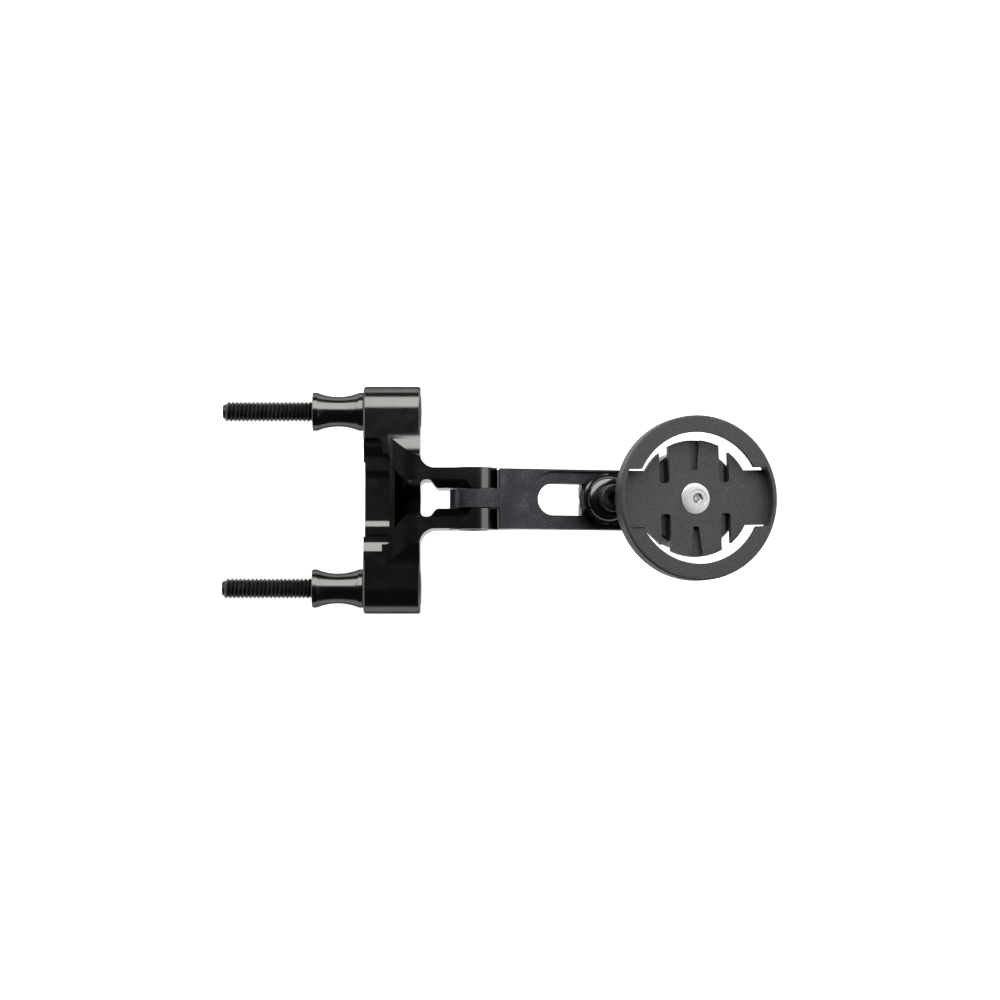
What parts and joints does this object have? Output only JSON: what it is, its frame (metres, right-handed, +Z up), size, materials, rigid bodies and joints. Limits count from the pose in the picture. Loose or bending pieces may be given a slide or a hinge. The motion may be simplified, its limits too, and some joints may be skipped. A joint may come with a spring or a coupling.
{
  "type": "out-front cycling computer mount",
  "caption": "Stem-bolted bracket with waisted spacers, a tilting slotted arm, and a round quarter-turn cup on a sliding, swivelling carrier.",
  "frame": {"origin": "middle of the bracket's stem-side face, level with the two stem bolts", "axes": "+X forward, away from the stem, +Y to the rider's left, +Z up, out of the cup's open side"},
  "size_m": [0.1085, 0.0448, 0.0197],
  "materials": {
    "gloss_anodised": "glossy black anodised, machined",
    "matt_anodised": "matt black anodised, fine bead-blasted grain",
    "black_steel": "black oxide",
    "stainless": "bright stainless steel",
    "nylon": "matt black glass-filled nylon, fine moulded texture",
    "acetal": "satin black acetal"
  },
  "bodies": {
    "bracket": {"stem_bracket": "gloss_anodised", "stem_bolt_left": "black_steel", "stem_bolt_right": "black_steel", "stem_bolt_washer_left": "black_steel", "stem_bolt_washer_right": "black_steel", "stem_spacer_left": "gloss_anodised", "stem_spacer_right": "gloss_anodised", "hinge_bolt": "black_steel", "hinge_nut": "black_steel"},
    "arm": {"slotted_arm": "matt_anodised", "hinge_washer_left": "acetal", "hinge_washer_right": "acetal"},
    "slider": {"barrel_nut": "black_steel", "slot_washer": "acetal", "seat_washer": "matt_anodised"},
    "head": {"carrier": "gloss_anodised", "cap_washer": "gloss_anodised", "clamp_bolt": "black_steel", "quarter_turn_cup": "nylon", "cup_screw": "stainless", "cup_pin_left": "stainless", "cup_pin_right": "stainless"}
  },
  "joints": [
    {"name": "arm_tilt", "type": "hinge", "parent": "bracket", "child": "arm", "pos_m": [0.02118, 0, 0.0029], "axis": [0, 1, 0], "range_deg": [-60, 30]},
    {"name": "slot_slide", "type": "slide", "parent": "arm", "child": "slider", "axis": [0.9659, 0, -0.2588], "range_m": [-0.0102, 0.0096]},
    {"name": "head_swivel", "type": "hinge", "parent": "slider", "child": "head", "pos_m": [0.04562, 0, -0.00365], "axis": [0.2588, 0, 0.9659], "range_deg": [-90, 90]}
  ]
}
